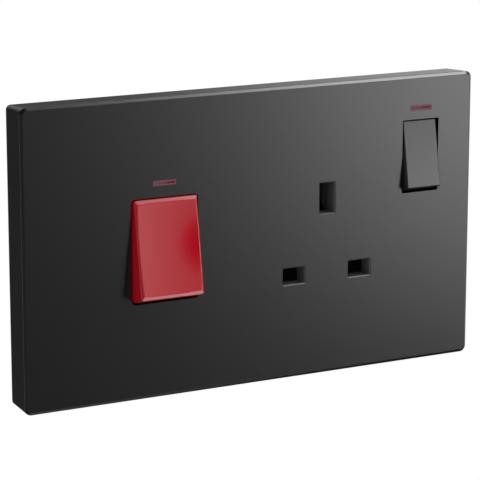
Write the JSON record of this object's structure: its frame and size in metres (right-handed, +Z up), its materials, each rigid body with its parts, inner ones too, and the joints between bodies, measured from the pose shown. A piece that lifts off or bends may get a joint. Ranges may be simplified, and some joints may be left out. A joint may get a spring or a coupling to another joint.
{
  "type": "cooker control unit",
  "caption": "Flush wall unit with a clip-on grey plate, a red double-pole cooker rocker, a shuttered square-pin socket with its own rocker, and an indicator over each rocker.",
  "frame": {"origin": "wall plane, midway between the two fixing holes", "axes": "+X to the right seen from the front, +Y into the wall, +Z up"},
  "size_m": [0.147, 0.0422, 0.087],
  "materials": {
    "plate_plastic": "fine satin moulding, dark grey",
    "rocker_plastic": "satin, dark grey",
    "red_plastic": "gloss red moulding",
    "frame_plastic": "matt black moulding",
    "base_plastic": "matt white moulding",
    "shutter_plastic": "matt black moulding",
    "plunger_plastic": "natural nylon",
    "red_lens": "clear red moulding",
    "lamp_glass": "clear glass",
    "resistor_coat": "tan lacquer",
    "brass": "drawn brass",
    "copper": "stamped copper",
    "steel": "zinc plated"
  },
  "bodies": {
    "unit": {"front_plate": "plate_plastic", "carrier_frame": "frame_plastic", "base_moulding": "base_plastic", "assembly_screws": "steel", "supply_line_strap": "copper", "supply_neutral_strap": "copper", "switched_line_strap": "copper", "cooker_line_strap": "copper", "cooker_neutral_strap": "copper", "earth_strap": "copper", "socket_earth_clip": "brass", "socket_line_clip": "brass", "socket_neutral_clip": "brass", "supply_line_terminal": "brass", "supply_neutral_terminal": "brass", "cooker_line_terminal": "brass", "cooker_neutral_terminal": "brass", "earth_terminal": "brass", "terminal_screws": "steel", "cooker_indicator_lens": "red_lens", "socket_indicator_lens": "red_lens", "cooker_neon_lamp": "lamp_glass", "socket_neon_lamp": "lamp_glass", "cooker_lamp_resistor": "resistor_coat", "socket_lamp_resistor": "resistor_coat", "shutter_spring": "steel"},
    "cooker_rocker": {"cooker_rocker": "red_plastic", "cooker_line_plunger": "plunger_plastic", "cooker_neutral_plunger": "plunger_plastic", "cooker_line_plunger_spring": "steel", "cooker_neutral_plunger_spring": "steel"},
    "cooker_line_contact": {"cooker_line_moving_contact": "copper"},
    "cooker_neutral_contact": {"cooker_neutral_moving_contact": "copper"},
    "socket_rocker": {"socket_rocker": "rocker_plastic", "socket_plunger": "plunger_plastic", "socket_plunger_spring": "steel"},
    "socket_contact": {"socket_moving_contact": "copper"},
    "shutter": {"shutter": "shutter_plastic"}
  },
  "joints": [
    {"name": "cooker_rocker_tilt", "type": "hinge", "parent": "unit", "child": "cooker_rocker", "pos_m": [-0.0297, -0.0076, -0.0003], "axis": [1, 0, 0], "range_deg": [0, 18]},
    {"name": "cooker_line_contact_rock", "type": "hinge", "parent": "unit", "child": "cooker_line_contact", "pos_m": [-0.0362, 0.00735, -0.0003], "axis": [1, 0, 0], "range_deg": [-16, 0]},
    {"name": "cooker_neutral_contact_rock", "type": "hinge", "parent": "unit", "child": "cooker_neutral_contact", "pos_m": [-0.0232, 0.00735, -0.0003], "axis": [1, 0, 0], "range_deg": [-16, 0]},
    {"name": "socket_rocker_tilt", "type": "hinge", "parent": "unit", "child": "socket_rocker", "pos_m": [0.0555, -0.0076, 0.0193], "axis": [1, 0, 0], "range_deg": [0, 19]},
    {"name": "socket_contact_rock", "type": "hinge", "parent": "unit", "child": "socket_contact", "pos_m": [0.0555, 0.00735, 0.0193], "axis": [1, 0, 0], "range_deg": [-21.39, 0]},
    {"name": "shutter_slide", "type": "slide", "parent": "unit", "child": "shutter", "axis": [0, 0, -1], "range_m": [0, 0.0062], "stiffness_N_per_m": 120, "springref_m": -0.004, "deforming": ["shutter_spring"]}
  ],
  "couplings": [
    {"joint": "cooker_line_contact_rock", "follows": "cooker_rocker_tilt", "ratio": -0.8888},
    {"joint": "cooker_neutral_contact_rock", "follows": "cooker_rocker_tilt", "ratio": -0.8888},
    {"joint": "socket_contact_rock", "follows": "socket_rocker_tilt", "ratio": -1.1256}
  ]
}
